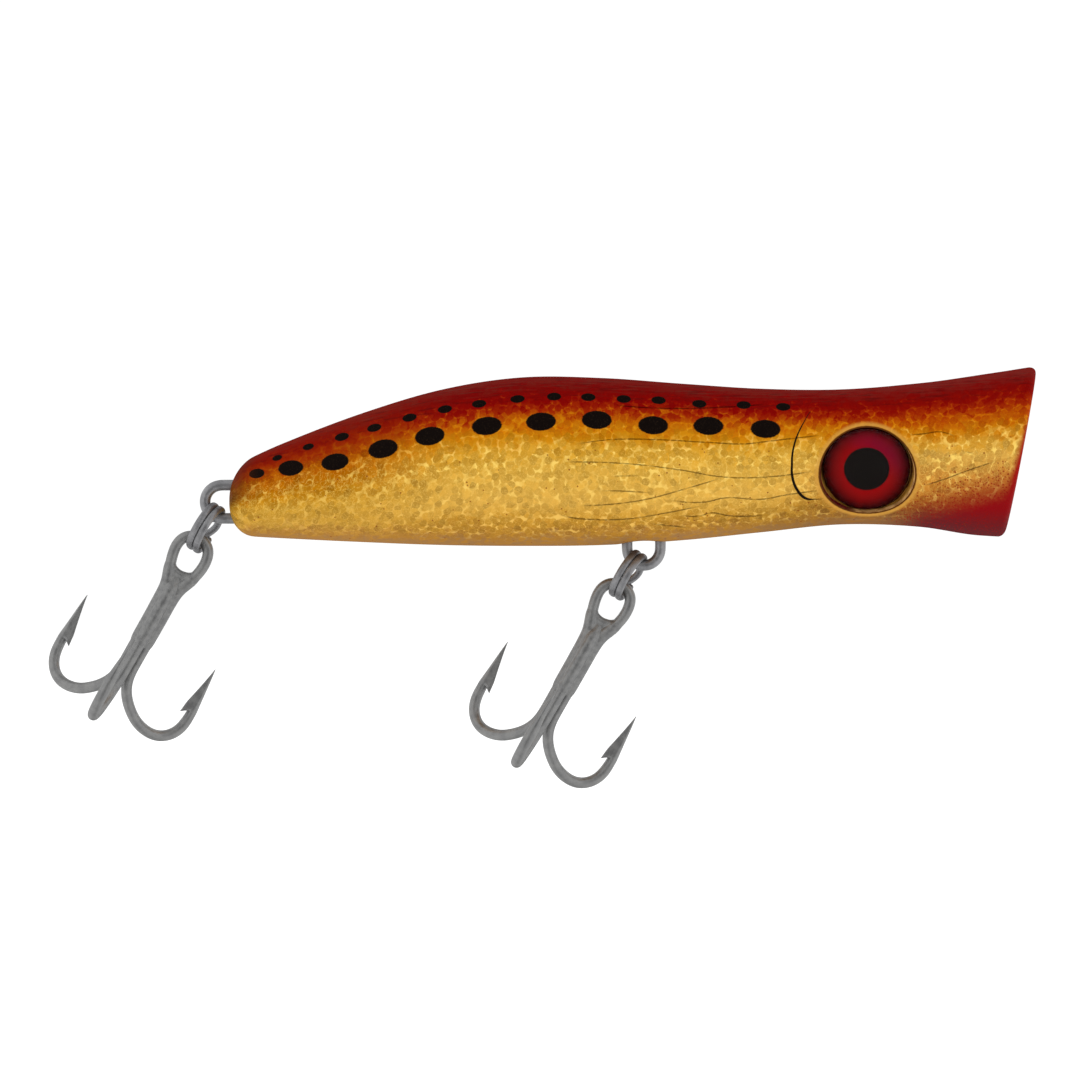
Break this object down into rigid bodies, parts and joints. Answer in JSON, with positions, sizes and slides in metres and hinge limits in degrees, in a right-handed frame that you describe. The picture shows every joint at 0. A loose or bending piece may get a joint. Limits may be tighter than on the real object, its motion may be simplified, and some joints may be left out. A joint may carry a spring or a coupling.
{
  "type": "topwater popper",
  "caption": "Floating popper lure: hollow two-piece body with a cupped mouth, inset eyes, internal ballast and rattles, and treble hooks swinging on split rings.",
  "frame": {"origin": "centre of the line tie's loop, inside the mouth's cup", "axes": "+X along the body towards the nose, +Y towards the body's left side, +Z towards its back"},
  "size_m": [0.1656, 0.026, 0.0707],
  "materials": {
    "body_paint": "clear-coated foil paint",
    "ballast_steel": "plain",
    "rattle_steel": "polished",
    "eye_print": "printed foil",
    "eye_lens": "clear gloss",
    "hanger_wire": "satin stainless",
    "ring_wire": "satin stainless",
    "hook_tin": "tinned, dull"
  },
  "bodies": {
    "lure_body": {"body_shell_right": "body_paint", "body_shell_left": "body_paint", "tail_ballast": "ballast_steel", "eye_disc_right": "eye_print", "eye_disc_left": "eye_print", "eye_lens_right": "eye_lens", "eye_lens_left": "eye_lens", "line_tie": "hanger_wire", "belly_hanger": "hanger_wire", "tail_hanger": "hanger_wire"},
    "rear_rattle": {"rattle_ball_rear": "rattle_steel"},
    "front_rattle": {"rattle_ball_front": "rattle_steel"},
    "belly_ring": {"belly_split_ring": "ring_wire"},
    "belly_treble": {"belly_treble_double_hook": "hook_tin", "belly_treble_single_hook": "hook_tin"},
    "tail_ring": {"tail_split_ring": "ring_wire"},
    "tail_treble": {"tail_treble_double_hook": "hook_tin", "tail_treble_single_hook": "hook_tin"}
  },
  "joints": [
    {"name": "belly_ring_swing", "type": "hinge", "parent": "lure_body", "child": "belly_ring", "pos_m": [-0.0584, 0, -0.0162], "axis": [0, 1, 0], "range_deg": [-88, 26]},
    {"name": "belly_treble_sway", "type": "hinge", "parent": "belly_ring", "child": "belly_treble", "pos_m": [-0.06103, 0, -0.02057], "axis": [0.8414, -0.1908, -0.5056], "range_deg": [-77, 63]},
    {"name": "tail_ring_swing", "type": "hinge", "parent": "lure_body", "child": "tail_ring", "pos_m": [-0.129, 0, -0.0083], "axis": [0, 1, 0], "range_deg": [-24, 110]},
    {"name": "tail_treble_sway", "type": "hinge", "parent": "tail_ring", "child": "tail_treble", "pos_m": [-0.13163, 0, -0.01267], "axis": [0.8414, -0.1908, -0.5056], "range_deg": [-77, 63]},
    {"name": "rear_rattle_slide", "type": "slide", "parent": "lure_body", "child": "rear_rattle", "axis": [1, 0, 0], "range_m": [-0.0032, 0.0032]},
    {"name": "front_rattle_slide", "type": "slide", "parent": "lure_body", "child": "front_rattle", "axis": [1, 0, 0], "range_m": [-0.0022, 0.0022]}
  ]
}
